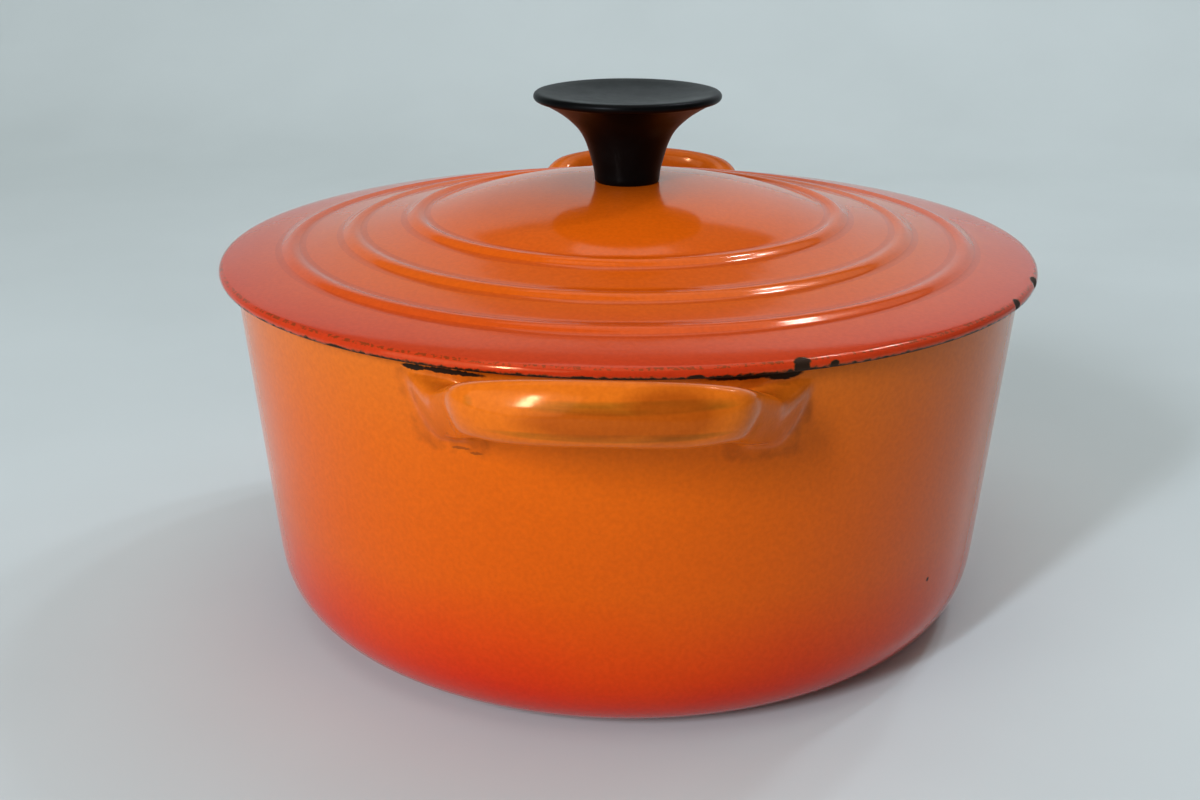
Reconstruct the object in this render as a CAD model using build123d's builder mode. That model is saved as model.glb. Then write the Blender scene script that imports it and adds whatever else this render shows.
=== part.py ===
from build123d import *
import math
import os

# Round cast iron dutch oven with an enamelled finish: a drafted pot with two loop handles cast
# in one piece with it, a crowned lid with three ring beads, and a trumpet-shaped phenolic knob
# held by one screw from below. Millimetres, +Z up. The origin is the centre of the base on the
# surface that the pot stands on, and the handles lie along -Y and +Y.

# Pot
rim_bore_radius = 100.0  # inside of the rim, half of the size that the pot is sold by
rim_land = 4.0  # width of the flat ground rim that carries the lid
pot_height = 95.0
wall_draft = 5.15  # degrees, so that the casting leaves its mould
wall_thickness = 3.4
base_thickness = 4.5
base_corner_radius = 19.4
inner_corner_radius = 16.0
foot_recess_radius = 58.0  # the middle of the base is ground a little hollow
foot_recess_depth = 0.6

# Loop handles, front one along -Y
finger_room = 17.6  # between the pot's rim and the middle of the grip bar
grip_depth = 8.0  # bar thickness, inwards
grip_half_length = 31.5  # half of the bar, between its two corners
grip_bow = 6.5  # how far the bar's outer face bows out between its corners
grip_height = 12.7  # of the bar, in its middle
grip_rise = 6.4  # middle of the arched top, above the pot's rim
handle_arch_radius = 105.0  # radius of the arched top, seen from the front
arm_width = 9.6
arm_splay = 20.0  # degrees, each arm leans outwards on its way to the wall
root_drop = 17.5  # from the rim down to the arms' underside, where they meet the wall
top_tilt = 8.0  # degrees, the arched top falls towards the wall
grip_corner_radius = 6.0
grip_inner_radius = 5.0
grip_edge_radius = 2.4
root_fillet = 2.5

# Lid
lid_overhang = 4.0  # beyond the outside of the pot's rim
lid_edge_height = 2.8
lid_edge_round = 0.8
lid_plate = 3.6
bead_insets = (18.6, 34.6, 51.5)  # from the lid's edge to the middle of each ring bead
crown_rises = (2.5, 5.4, 9.0)  # how far the crown has climbed at each bead
dome_foot_rise = 0.35  # from the innermost bead to where the dome starts, just inside it
dome_rise = 8.0  # from the innermost bead to the knob's seat
bead_width = 5.4
bead_height = 1.0
knob_pad_radius = 9.4  # flat in the middle of the dome, under the knob
lid_play = 1.8  # sideways, between the locating rib and the inside of the rim
rib_width = 3.0
rib_drop = 3.0

# Knob, its threaded insert and its screw
knob_height = 23.8
knob_base_radius = 8.6
knob_waist_radius = 9.9
knob_waist_height = 6.6
knob_neck_radius = 13.3
knob_neck_height = 13.9
knob_flare_radius = 16.9
knob_flare_height = 17.3
knob_rim_radius = 24.8
knob_rim_thickness = 2.2
knob_dish_inset = 2.4  # from the rim's edge to where the top starts to sink
knob_dish_depth = 1.3
insert_radius = 4.2
insert_recess = 0.3  # the insert stops short of the knob's base, so that the base seats first
insert_groove_width = 1.6
insert_groove_depth = 0.6
thread_engagement = 9.9
thread_spare = 3.0  # insert left beyond the screw's tip
tip_room = 2.0  # hollow in the knob above the insert
screw_radius = 2.5
screw_head_radius = 4.8
screw_head_height = 2.8
screw_head_round = 0.8
screw_slot_width = 1.2
screw_slot_depth = 1.3
screw_tip_chamfer = 0.6
thread_clearance = 0.05  # running fit of the screw in its insert
screw_clearance = 0.3  # the screw in the lid's hole and in the washers
moulded_clearance = 0.02  # the insert in the knob that is moulded round it
flat_washer_radius = 7.5
flat_washer_thickness = 1.0
spring_washer_radius = 4.7
spring_washer_thickness = 1.2
spring_washer_gap = 1.2
spring_washer_skew = 25.0  # degrees, lean of the cut through the spring washer

# Worked out from the sizes above
draft = math.radians(wall_draft)
rim_radius = rim_bore_radius + rim_land
handle_reach = rim_radius + finger_room + grip_depth
handle_top = pot_height + grip_rise
grip_bottom = handle_top - grip_height
root_bottom = pot_height - root_drop
lid_radius = rim_radius + lid_overhang
lid_seat = pot_height
lid_edge_top = lid_seat + lid_edge_height
bead_radii = [lid_radius - inset for inset in bead_insets]
crown_heights = [lid_edge_top + rise for rise in crown_rises]
knob_seat = crown_heights[-1] + dome_rise
washer_seat = knob_seat - lid_plate
screw_hole_radius = screw_radius + screw_clearance
spring_seat = washer_seat - flat_washer_thickness
head_seat = spring_seat - spring_washer_thickness
insert_base = knob_seat + insert_recess
insert_length = thread_engagement + thread_spare
screw_tip = insert_base + thread_engagement
knob_top = knob_seat + knob_height
on_surface = 0.01  # a point this near a surface lies on it


def wall_radius(height):
    """Outside radius of the drafted wall at a height."""
    return rim_radius - (pot_height - height) * math.tan(draft)


# ---------------------------------------------------------------- pot
# One loop handle, on the -Y side: a plan outline, cut by its side view and by its arched front.
corner_y = -(handle_reach - grip_bow)
wall_y = -math.sqrt(wall_radius(root_bottom) ** 2 - grip_half_length**2)
underside_slope = (grip_bottom - root_bottom) / (handle_reach + wall_y)
sunk_y = wall_y + rim_land + wall_thickness  # ends inside the wall, and the bore trims it
splay = math.tan(math.radians(arm_splay))
sunk_half = grip_half_length + (sunk_y - corner_y) * splay
inner_half = grip_half_length - arm_width
inner_corner_y = corner_y + grip_depth
inner_sunk_half = inner_half + (sunk_y - inner_corner_y) * splay
above = handle_top + grip_depth
tilt = math.radians(top_tilt)
arch_plane = Plane(
    origin=(0, -handle_reach, handle_top - handle_arch_radius / math.cos(tilt)),
    x_dir=(1, 0, 0),
    z_dir=(0, math.cos(tilt), -math.sin(tilt)),
)
below = root_bottom - grip_depth

with BuildPart() as handle:
    with BuildSketch(Plane.XY.offset(below)):
        with BuildLine():
            left = Line((-sunk_half, sunk_y), (-grip_half_length, corner_y))
            ThreePointArc(left @ 1, (0, -handle_reach), (grip_half_length, corner_y))
            Line((grip_half_length, corner_y), (sunk_half, sunk_y))
            Line((sunk_half, sunk_y), (-sunk_half, sunk_y))
        make_face()
        with BuildLine():
            left = Line((-inner_sunk_half, sunk_y), (-inner_half, inner_corner_y))
            ThreePointArc(left @ 1, (0, grip_depth - handle_reach), (inner_half, inner_corner_y))
            Line((inner_half, inner_corner_y), (inner_sunk_half, sunk_y))
            Line((inner_sunk_half, sunk_y), (-inner_sunk_half, sunk_y))
        make_face(mode=Mode.SUBTRACT)
    extrude(amount=above - below)
    inner_corners = handle.edges().filter_by(Axis.Z).group_by(Axis.Y)[1]
    fillet(inner_corners, grip_inner_radius)
    outer_corners = handle.edges().filter_by(Axis.Z).group_by(Axis.Y)[0]
    fillet(outer_corners, grip_corner_radius)
    # Side view: the underside climbs in one slope from the wall to the grip.
    with BuildSketch(Plane.YZ.offset(-2 * sunk_half)):
        with BuildLine():
            Polyline(
                (sunk_y, root_bottom - underside_slope * (sunk_y - wall_y)),
                (-handle_reach, grip_bottom),
                (-handle_reach, above),
                (sunk_y, above),
                close=True,
            )
        make_face()
    extrude(amount=4 * sunk_half, mode=Mode.INTERSECT)
    # Front view: the top is arched, and the arch falls a little towards the wall.
    with BuildSketch(arch_plane):
        Circle(handle_arch_radius)
    extrude(amount=handle_reach / 2, both=True, mode=Mode.INTERSECT)
    rims = handle.edges().filter_by(Axis.Z, reverse=True)
    fillet(rims - rims.group_by(Axis.Y)[-1], grip_edge_radius)


def on_wall(edge):
    """Whether an edge lies on the drafted wall, between the base's corner and the rim."""
    points = [edge.position_at(share) for share in (0, 0.5, 1)]
    return all(
        base_corner_radius < point.Z < pot_height - on_surface
        and abs(math.hypot(point.X, point.Y) - wall_radius(point.Z)) < on_surface
        for point in points
    )


with BuildPart() as pot:
    # Outside of the casting, still solid.
    with BuildSketch(Plane.XZ) as outside:
        with BuildLine():
            Polyline((0, 0), (wall_radius(0), 0), (rim_radius, pot_height), (0, pot_height), close=True)
        make_face()
        foot_corner = outside.vertices().group_by(Axis.Y)[0].sort_by(Axis.X)[-1]
        fillet(foot_corner, base_corner_radius)
    revolve(axis=Axis.Z)
    add(handle.part)
    mirror(handle.part, about=Plane.XZ)
    for side_x in (-1, 1):
        for side_y in (-1, 1):
            root = pot.edges().filter_by(on_wall).filter_by(
                lambda edge: edge.center().X * side_x > 0 and edge.center().Y * side_y > 0
            )
            fillet(root, root_fillet)
    # The bore, which also trims the handle roots that reach through the wall.
    with BuildSketch(Plane.XZ) as bore:
        with BuildLine():
            Polyline(
                (0, base_thickness),
                (wall_radius(base_thickness) - wall_thickness, base_thickness),
                (rim_bore_radius, pot_height),
                (0, pot_height),
                close=True,
            )
        make_face()
        bore_corner = bore.vertices().group_by(Axis.Y)[0].sort_by(Axis.X)[-1]
        fillet(bore_corner, inner_corner_radius)
    revolve(axis=Axis.Z, mode=Mode.SUBTRACT)
    with BuildSketch():
        Circle(foot_recess_radius)
    extrude(amount=foot_recess_depth, mode=Mode.SUBTRACT)
pot.part.label = "pot"

# ---------------------------------------------------------------- lid
# The crown climbs in straight slopes from the edge to the innermost bead.
crown = [(lid_radius, lid_edge_top), *zip(bead_radii, crown_heights)]


def crown_point(radius):
    """Point of the crown's slopes at a radius, as if there were no beads."""
    for (outer, low), (inner, high) in zip(crown, crown[1:]):
        if radius >= inner:
            return (radius, low + (high - low) * (outer - radius) / (outer - inner))
    return (radius, crown_heights[-1] + dome_foot_rise)


half_bead = bead_width / 2
dome_foot = crown_point(bead_radii[-1] - half_bead)
rib_outer = rim_bore_radius - lid_play
rib_inner = rib_outer - rib_width
rib_bottom = lid_seat - rib_drop

with BuildPart() as lid:
    with BuildSketch(Plane.XZ) as section:
        with BuildLine():
            # Top: knob pad, dome, ring beads and the slopes between them.
            Line((screw_hole_radius, knob_seat), (knob_pad_radius, knob_seat))
            TangentArc((knob_pad_radius, knob_seat), dome_foot, tangent=(1, 0))
            for radius, height in zip(bead_radii, crown_heights):
                feet = crown_point(radius - half_bead), crown_point(radius + half_bead)
                ThreePointArc(feet[0], (radius, height + bead_height), feet[1])
            for outer, inner in zip(bead_radii, bead_radii[1:]):
                Line(crown_point(outer - half_bead), crown_point(inner + half_bead))
            # Flange, seat on the rim, locating rib, and the underside back to the middle.
            Polyline(
                crown_point(bead_radii[0] + half_bead),
                (lid_radius, lid_edge_top),
                (lid_radius, lid_seat),
                (rib_outer, lid_seat),
                (rib_outer, rib_bottom),
                (rib_inner, rib_bottom),
                (rib_inner, crown_point(rib_inner)[1] - lid_plate),
                *[(r, h - lid_plate) for r, h in zip(bead_radii[:-1], crown_heights[:-1])],
                (dome_foot[0], dome_foot[1] - lid_plate),
            )
            TangentArc(
                (knob_pad_radius, washer_seat),
                (dome_foot[0], dome_foot[1] - lid_plate),
                tangent=(1, 0),
            )
            Polyline(
                (knob_pad_radius, washer_seat),
                (screw_hole_radius, washer_seat),
                (screw_hole_radius, knob_seat),
            )
        make_face()
        edge_corners = section.vertices().group_by(Axis.X)[-1]
        fillet(edge_corners, lid_edge_round)
    revolve(axis=Axis.Z)
lid.part.label = "lid"

# ---------------------------------------------------------------- knob and its fastening
def insert_outline(clearance):
    """Outside of the threaded insert with its gripping groove, grown by a clearance."""
    radius = insert_radius + clearance
    waist = radius - insert_groove_depth
    groove_low = insert_base + (insert_length - insert_groove_width) / 2 + clearance
    groove_high = groove_low + insert_groove_width - 2 * clearance
    return [
        (radius, insert_base),
        (radius, groove_low),
        (waist, groove_low),
        (waist, groove_high),
        (radius, groove_high),
        (radius, insert_base + insert_length),
    ]


with BuildPart() as knob:
    with BuildSketch(Plane.XZ):
        with BuildLine():
            rim_low = (knob_rim_radius - knob_rim_thickness / 2, knob_top - knob_rim_thickness)
            rim_high = (knob_rim_radius - knob_rim_thickness / 2, knob_top)
            Line((0, knob_seat), (knob_base_radius, knob_seat))
            Spline(
                (knob_base_radius, knob_seat),
                (knob_waist_radius, knob_seat + knob_waist_height),
                (knob_neck_radius, knob_seat + knob_neck_height),
                (knob_flare_radius, knob_seat + knob_flare_height),
                rim_low,
            )
            ThreePointArc(rim_low, (knob_rim_radius, knob_top - knob_rim_thickness / 2), rim_high)
            Line(rim_high, (knob_rim_radius - knob_dish_inset, knob_top))
            TangentArc(
                (0, knob_top - knob_dish_depth),
                (knob_rim_radius - knob_dish_inset, knob_top),
                tangent=(1, 0),
            )
            Line((0, knob_top - knob_dish_depth), (0, knob_seat))
        make_face()
    revolve(axis=Axis.Z)
    # Seat of the insert, open at the knob's base, with room for the screw's tip above it.
    cavity = insert_outline(moulded_clearance)
    with BuildSketch(Plane.XZ):
        with BuildLine():
            Polyline(
                (0, knob_seat),
                (cavity[0][0], knob_seat),
                *cavity[1:],
                (screw_hole_radius, cavity[-1][1]),
                (screw_hole_radius, cavity[-1][1] + tip_room),
                (0, cavity[-1][1] + tip_room),
                close=True,
            )
        make_face()
    revolve(axis=Axis.Z, mode=Mode.SUBTRACT)
knob.part.label = "knob"

with BuildPart() as knob_insert:
    with BuildSketch(Plane.XZ):
        with BuildLine():
            thread_radius = screw_radius + thread_clearance
            outline = insert_outline(0)
            Polyline(
                (thread_radius, outline[0][1]),
                *outline,
                (thread_radius, outline[-1][1]),
                close=True,
            )
        make_face()
    revolve(axis=Axis.Z)
knob_insert.part.label = "knob_insert"

with BuildPart() as knob_screw:
    with BuildSketch(Plane.XZ) as turned:
        with BuildLine():
            Polyline(
                (0, head_seat - screw_head_height),
                (screw_head_radius, head_seat - screw_head_height),
                (screw_head_radius, head_seat),
                (screw_radius, head_seat),
                (screw_radius, screw_tip - screw_tip_chamfer),
                (screw_radius - screw_tip_chamfer, screw_tip),
                (0, screw_tip),
                close=True,
            )
        make_face()
        fillet(turned.vertices().group_by(Axis.Y)[0].sort_by(Axis.X)[-1], screw_head_round)
    revolve(axis=Axis.Z)
    # Driver slot, right across the head.
    with BuildSketch(Plane.XY.offset(head_seat - screw_head_height)):
        Rectangle(3 * screw_head_radius, screw_slot_width)
    extrude(amount=screw_slot_depth, mode=Mode.SUBTRACT)
knob_screw.part.label = "knob_screw"

with BuildPart() as flat_washer:
    with BuildSketch(Plane.XY.offset(spring_seat)):
        Circle(flat_washer_radius)
        Circle(screw_hole_radius, mode=Mode.SUBTRACT)
    extrude(amount=flat_washer_thickness)
flat_washer.part.label = "flat_washer"

with BuildPart() as spring_washer:
    with BuildSketch(Plane.XY.offset(head_seat)):
        Circle(spring_washer_radius)
        Circle(screw_hole_radius, mode=Mode.SUBTRACT)
    extrude(amount=spring_washer_thickness)
    # Leaning cut that makes the ring a spring.
    half_gap = spring_washer_gap / 2
    half_lean = spring_washer_thickness / 2 * math.tan(math.radians(spring_washer_skew))
    with BuildSketch(Plane.YZ):
        with BuildLine():
            Polyline(
                (-half_gap - half_lean, head_seat),
                (half_gap - half_lean, head_seat),
                (half_gap + half_lean, spring_seat),
                (-half_gap + half_lean, spring_seat),
                close=True,
            )
        make_face()
    extrude(amount=spring_washer_radius, mode=Mode.SUBTRACT)
spring_washer.part.label = "spring_washer"

os.makedirs("parts", exist_ok=True)
for piece in (pot, lid, knob, knob_insert, knob_screw, flat_washer, spring_washer):
    export_step(piece.part, f"parts/{piece.part.label}.step")
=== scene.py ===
import math

import bmesh
import bpy
from mathutils import Matrix, Vector


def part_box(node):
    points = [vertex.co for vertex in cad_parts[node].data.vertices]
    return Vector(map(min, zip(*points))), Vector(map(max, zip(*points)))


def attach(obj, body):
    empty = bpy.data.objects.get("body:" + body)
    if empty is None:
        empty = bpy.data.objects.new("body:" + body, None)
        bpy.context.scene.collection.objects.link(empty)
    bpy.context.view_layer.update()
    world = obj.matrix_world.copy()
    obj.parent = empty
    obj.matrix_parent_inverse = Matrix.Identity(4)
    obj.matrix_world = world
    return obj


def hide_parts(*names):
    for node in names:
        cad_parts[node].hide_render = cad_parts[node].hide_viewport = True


# A round enamelled cast iron dutch oven: pot, crowned lid and a phenolic knob on one screw.
# Metres, +Z up, in the frame's own place. The two loop handles lie along -Y and +Y.

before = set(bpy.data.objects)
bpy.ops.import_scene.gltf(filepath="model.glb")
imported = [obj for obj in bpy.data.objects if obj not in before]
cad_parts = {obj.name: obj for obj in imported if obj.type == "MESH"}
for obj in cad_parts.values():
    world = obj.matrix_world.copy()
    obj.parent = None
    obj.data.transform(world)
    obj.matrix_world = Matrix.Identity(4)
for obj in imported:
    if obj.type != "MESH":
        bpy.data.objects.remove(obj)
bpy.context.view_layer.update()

MM = 0.001

# ---------------------------------------------------------------- sizes, in metres
POT_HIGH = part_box("pot")[1]
LID_LOW, LID_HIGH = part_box("lid")
KNOB_LOW, KNOB_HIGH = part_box("knob")
SCREW_LOW, SCREW_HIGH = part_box("knob_screw")
SPRING_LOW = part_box("spring_washer")[0]

# Pot
RIM_RADIUS = 104.0 * MM
RIM_LAND = 4.0 * MM
RIM_HEIGHT = 95.0 * MM
RIM_ROUND = 0.7 * MM
BLACK_BAND = 3.0 * MM  # how far the rim's black enamel reaches down inside
ORANGE_LIP = 0.6 * MM  # how far the orange runs in over the rim's outer edge
DRAFT = math.radians(5.15)
BASE_CORNER = 19.4 * MM
BASE_THICKNESS = 4.5 * MM
INNER_BOTTOM = 92.44 * MM  # bore radius, where wall and bottom would meet without their corner
INNER_CORNER = 16.0 * MM
FOOT_RADIUS = 58.0 * MM
FOOT_RECESS = 0.6 * MM
FOOT_STEP = 1.0 * MM  # each side of the foot's radius, the slope between recess and ring
GROUND_RING = 68.0 * MM  # a point on the flat ring, between its step and the base's corner
WALL_LEVELS = [z * MM for z in (26, 36, 46, 56, 66)]
BORE_DEPTHS = [d * MM for d in (0.9, 4, 16, 30, 45, 60)]
POT_COLUMNS = 24  # in a quarter turn

# Loop handles
HANDLE_REACH = POT_HIGH.y
HANDLE_RUN = 35.2 * MM  # from the grip's face back to where the arms' underside meets the wall
GRIP_DEPTH = 8.0 * MM
GRIP_HALF = 31.5 * MM
GRIP_BOW = 6.5 * MM
GRIP_TOP = 101.4 * MM
GRIP_BOTTOM = 88.7 * MM
ROOT_BOTTOM = 77.5 * MM
SAG = 0.4 * MM  # lowers the underside, which smoothing pulls up by as much
ARCH_RADIUS = 210.0 * MM
TOP_TILT = math.radians(5.0)
ARM_FALL = math.radians(16.0)
ARM_WIDTH = 9.2 * MM
ARM_SPLAY = math.radians(20.0)
ARM_CORNER = (26.7 * MM, -119.1 * MM)  # where the middle of the bar meets the middle of an arm
GRIP_CORNER = (29.0 * MM, -120.5 * MM)  # outside of that corner
CORNER_LIFT = 1.8 * MM
CORNER_FADE = 7.0 * MM
ROOT_INSET = 1.0 * MM
# sections of an arm, from the wall: mm from the corner, and share of the arm's half width
ARM_STATIONS = ((20.6, 1.2), (17.5, 1.05), (11, 1), (5.2, 1))
BAR_STATIONS = (20, 13, 6.5, 0)  # sections of the bar, in mm from its middle
# shares of the half width at four heights, from the underside to the top
GRIP_FACE = (0.72, 1, 0.79, 0.24)
CORNER_FACE = (0.62, 0.92, 1, 0.8)
ARM_FACE = (0.3, 0.7, 1, 0.9)
INNER_FACE = (0.75, 1, 1, 0.85)
# the patch of the wall that an arm grows from: its heights, and its first and last column
PATCH_ROWS = [z * MM for z in (75.8, 81.4, 87.0, 92.4)]
PATCH_COLUMNS = (4, 7)
ROOT_LEAN = [math.radians(turn) for turn in (4.2, 2.2, 1.0, 0)]  # the root narrows downwards
ARM_COLUMNS = PATCH_COLUMNS[1] - PATCH_COLUMNS[0]
ARM_ROWS = len(PATCH_ROWS) - 1

# Lid
LID_RADIUS = LID_HIGH.x
LID_SEAT = RIM_HEIGHT
LID_EDGE = 2.8 * MM
EDGE_ROUND = 1.6 * MM
LOWER_ROUND = 1.0 * MM
LID_PLATE = 3.6 * MM
BEADS = [(89.4 * MM, 100.3 * MM), (73.4 * MM, 103.2 * MM), (56.5 * MM, 106.8 * MM)]  # radius, foot
BEAD_WIDTH = 6.6 * MM
BEAD_HEIGHT = 1.0 * MM
DOME_FOOT = (53.2 * MM, 107.15 * MM)
PAD_RADIUS = 9.4 * MM
HOLE_RADIUS = 2.8 * MM
RIB = (95.2 * MM, 98.2 * MM)
RIB_BOTTOM = LID_LOW.z
RIB_CHAMFER = 0.6 * MM
RIB_ROOTS = (0.8 * MM, 0.4 * MM)  # inside and outside
SEAT_RING = (RIB[0] - 1.5 * MM, LID_RADIUS - 1.0 * MM)  # the seat and the rib are black between these

# Knob
KNOB_SEAT = KNOB_LOW.z
KNOB_TOP = KNOB_HIGH.z
KNOB_RADIUS = KNOB_HIGH.x
KNOB_BASE_ROUND = 0.4 * MM
# the flare's radius and its height above the seat, in mm
TRUMPET = [
    (8.6, 0.0), (8.9, 3.0), (9.8, 6.6), (11.0, 10.4), (12.9, 13.9), (16.4, 17.3), (20.0, 19.7), (23.4, 21.5)
]
INSERT_BORE = 4.22 * MM
BORE_CHAMFER = 0.2 * MM
BORE_DEPTH = 15.2 * MM
DISH_INSET = 2.0 * MM
DISH_DEPTH = 2.0 * MM

# Screw
HEAD_SEAT = SPRING_LOW.z
HEAD_RADIUS = SCREW_HIGH.x
HEAD_ROUND = 0.6 * MM
SCREW_RADIUS = 2.5 * MM
TIP_CHAMFER = 0.6 * MM
THREAD_PITCH = 0.8 * MM
THREAD_ROOT = 2.05 * MM
SLOT_WIDTH = 1.2 * MM
SLOT_DEPTH = 1.3 * MM

MERGE = 1e-6  # vertices nearer than this are one
NEAR = 1e-5  # what lies nearer than this to a plane or an edge lies on it


# ---------------------------------------------------------------- small helpers
def linear(code):
    """The linear colour, with alpha, of an sRGB hex value."""
    parts = [int(code[i : i + 2], 16) / 255 for i in (1, 3, 5)]
    return [c / 12.92 if c <= 0.04045 else ((c + 0.055) / 1.055) ** 2.4 for c in parts] + [1.0]


def add(tree, kind, inputs=None, stops=(), **settings):
    """Adds a node; settings are its properties, inputs give its sockets a value or an output."""
    node = tree.nodes.new("ShaderNode" + kind)
    for name, value in settings.items():
        setattr(node, name, value)
    for index, (position, code) in enumerate(stops):
        elements = node.color_ramp.elements
        element = elements[index] if index < 2 else elements.new(position)
        element.position = position
        element.color = linear(code)
    for name, value in (inputs or {}).items():
        if isinstance(value, bpy.types.NodeSocket):
            tree.links.new(value, node.inputs[name])
        else:
            node.inputs[name].default_value = value
    return node


def arc(centre, radius, start, end, steps):
    """Points on an arc, from one angle to another in degrees."""
    angles = [math.radians(start + (end - start) * i / steps) for i in range(steps + 1)]
    return [(centre[0] + radius * math.cos(a), centre[1] + radius * math.sin(a)) for a in angles]


def smooth_through(points, steps):
    """A smooth curve through points, a Catmull-Rom spline with some steps between each pair."""
    ends = [points[0], *points, points[-1]]
    curve = []
    for a, b, c, d in zip(ends, ends[1:], ends[2:], ends[3:]):
        for i in range(steps):
            t = i / steps
            place = []
            for p, q, r, s in zip(a, b, c, d):
                slope = (r - p) * t
                bend = (2 * p - 5 * q + 4 * r - s) * t**2
                twist = (3 * q - p - 3 * r + s) * t**3
                place.append(0.5 * (2 * q + slope + bend + twist))
            curve.append(tuple(place))
    return curve + [points[-1]]


def profile_edges(bm, points, closed=False):
    """A chain of edges in the front half plane, through (radius, height) points."""
    verts = [bm.verts.new((0, -r, z)) for r, z in points]
    pairs = list(zip(verts, verts[1:])) + ([(verts[-1], verts[0])] if closed else [])
    return verts + [bm.edges.new(pair) for pair in pairs]


def turned(points, steps, closed=False):
    """A solid of revolution about the Z axis, with its seam and poles closed."""
    bm = bmesh.new()
    bmesh.ops.spin(
        bm,
        geom=profile_edges(bm, points, closed),
        cent=(0, 0, 0),
        axis=(0, 0, 1),
        angle=math.tau,
        steps=steps,
        use_merge=True,
    )
    bmesh.ops.remove_doubles(bm, verts=bm.verts, dist=MERGE)
    bmesh.ops.recalc_face_normals(bm, faces=bm.faces)
    return bm


def verts_in(items):
    """The vertices among the things that an operator returns."""
    return [item for item in items if isinstance(item, bmesh.types.BMVert)]


def corners_of(faces):
    """The vertices that faces have, each once."""
    return {vert for face in faces for vert in face.verts}


def paint(bm, finish):
    """Gives each face the number of its material, by its centre and its normal."""
    for face in bm.faces:
        face.material_index = finish(face.calc_center_median(), face.normal)


def finish_piece(bm, name, materials, body, replaced, levels=0, smooth=True):
    """Makes a mesh object of a bmesh, gives it its materials and rides it on its body."""
    mesh = bpy.data.meshes.new(name)
    bm.to_mesh(mesh)
    bm.free()
    for material in materials:
        mesh.materials.append(material)
    for polygon in mesh.polygons:
        polygon.use_smooth = smooth
    piece = bpy.data.objects.new(name, mesh)
    bpy.context.collection.objects.link(piece)
    if levels:
        subsurf = piece.modifiers.new("smooth casting", "SUBSURF")
        subsurf.levels = subsurf.render_levels = levels
    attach(piece, body)
    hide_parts(replaced)


# ---------------------------------------------------------------- pot
def wall_radius(height):
    """Outside radius of the drafted wall at a height."""
    return RIM_RADIUS - (RIM_HEIGHT - height) * math.tan(DRAFT)


def pot_profile():
    """Section of the pot: under the base, up the outside, over the rim and down inside.

    Points along the straight stretches keep them straight when the casting is smoothed.
    """
    corner = (wall_radius(BASE_CORNER) - BASE_CORNER / math.cos(DRAFT), BASE_CORNER)
    outside = [
        (0, FOOT_RECESS),
        (30 * MM, FOOT_RECESS),
        (FOOT_RADIUS - FOOT_STEP, FOOT_RECESS),
        (FOOT_RADIUS, FOOT_RECESS / 2),
        (FOOT_RADIUS + FOOT_STEP, 0),
        (GROUND_RING, 0),
        *arc(corner, BASE_CORNER, -90, -math.degrees(DRAFT), 6),
        *[(wall_radius(z), z) for z in WALL_LEVELS + PATCH_ROWS],
    ]
    rim = [
        (RIM_RADIUS, RIM_HEIGHT - 1.2 * RIM_ROUND),
        (RIM_RADIUS - 0.2 * RIM_ROUND, RIM_HEIGHT - 0.2 * RIM_ROUND),
        (RIM_RADIUS - 1.2 * RIM_ROUND, RIM_HEIGHT),
        (RIM_RADIUS - RIM_LAND + 1.2 * RIM_ROUND, RIM_HEIGHT),
        (RIM_RADIUS - RIM_LAND + 0.2 * RIM_ROUND, RIM_HEIGHT - 0.2 * RIM_ROUND),
    ]
    bore = RIM_RADIUS - RIM_LAND
    lean = (bore - INNER_BOTTOM) / (RIM_HEIGHT - BASE_THICKNESS)
    low = BASE_THICKNESS + INNER_CORNER
    inner_corner = (INNER_BOTTOM + INNER_CORNER * lean - INNER_CORNER * math.hypot(1, lean), low)
    inside = [
        *[(bore - lean * depth, RIM_HEIGHT - depth) for depth in BORE_DEPTHS],
        *arc(inner_corner, INNER_CORNER, -math.degrees(math.atan(lean)), -90, 5),
        (50 * MM, BASE_THICKNESS),
        (25 * MM, BASE_THICKNESS),
        (0, BASE_THICKNESS),
    ]
    return outside + rim + inside


def near_corner(x, y):
    """1 at the corner between grip and arm, fading away from it."""
    off = math.hypot(x - GRIP_CORNER[0], y - GRIP_CORNER[1])
    return math.exp(-((off / CORNER_FADE) ** 2))


def handle_top(x, y):
    """Height of the handle's arched top, which falls towards the wall, most along the arms."""
    drop = ARCH_RADIUS - math.sqrt(ARCH_RADIUS**2 - x**2)
    along_arm = max(0, y - GRIP_CORNER[1])
    return GRIP_TOP - drop - (y + HANDLE_REACH) * math.tan(TOP_TILT) - along_arm * math.tan(ARM_FALL)


def handle_bottom(x, y):
    """Height of the handle's underside, a slope from the wall up to the grip, lifted at the corners."""
    slope = GRIP_BOTTOM - (y + HANDLE_REACH) * (GRIP_BOTTOM - ROOT_BOTTOM) / HANDLE_RUN
    return slope + CORNER_LIFT * near_corner(x, y) - SAG


def handle_stations():
    """Centre, outward direction, half width and outer face of each section of half a handle."""
    bow_radius = (GRIP_HALF**2 + GRIP_BOW**2) / (2 * GRIP_BOW)
    bow_centre = Vector((0, bow_radius - HANDLE_REACH))
    middle = bow_radius - GRIP_DEPTH / 2
    corner = Vector(ARM_CORNER)
    along = Vector((math.sin(ARM_SPLAY), math.cos(ARM_SPLAY)))
    across = Vector((math.cos(ARM_SPLAY), -math.sin(ARM_SPLAY)))
    half = ARM_WIDTH / 2
    arm = [(corner + along * away * MM, across, half * share, ARM_FACE) for away, share in ARM_STATIONS]
    bar = []
    for station in BAR_STATIONS:
        x = station * MM
        outward = Vector((x, -math.sqrt(middle**2 - x**2))) / middle
        bar.append((bow_centre + outward * middle, outward, GRIP_DEPTH / 2, GRIP_FACE))
    mitre = (across + bar[0][1]).normalized()
    return [*arm, (corner, mitre, half / mitre.dot(across), CORNER_FACE), *bar]


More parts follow.
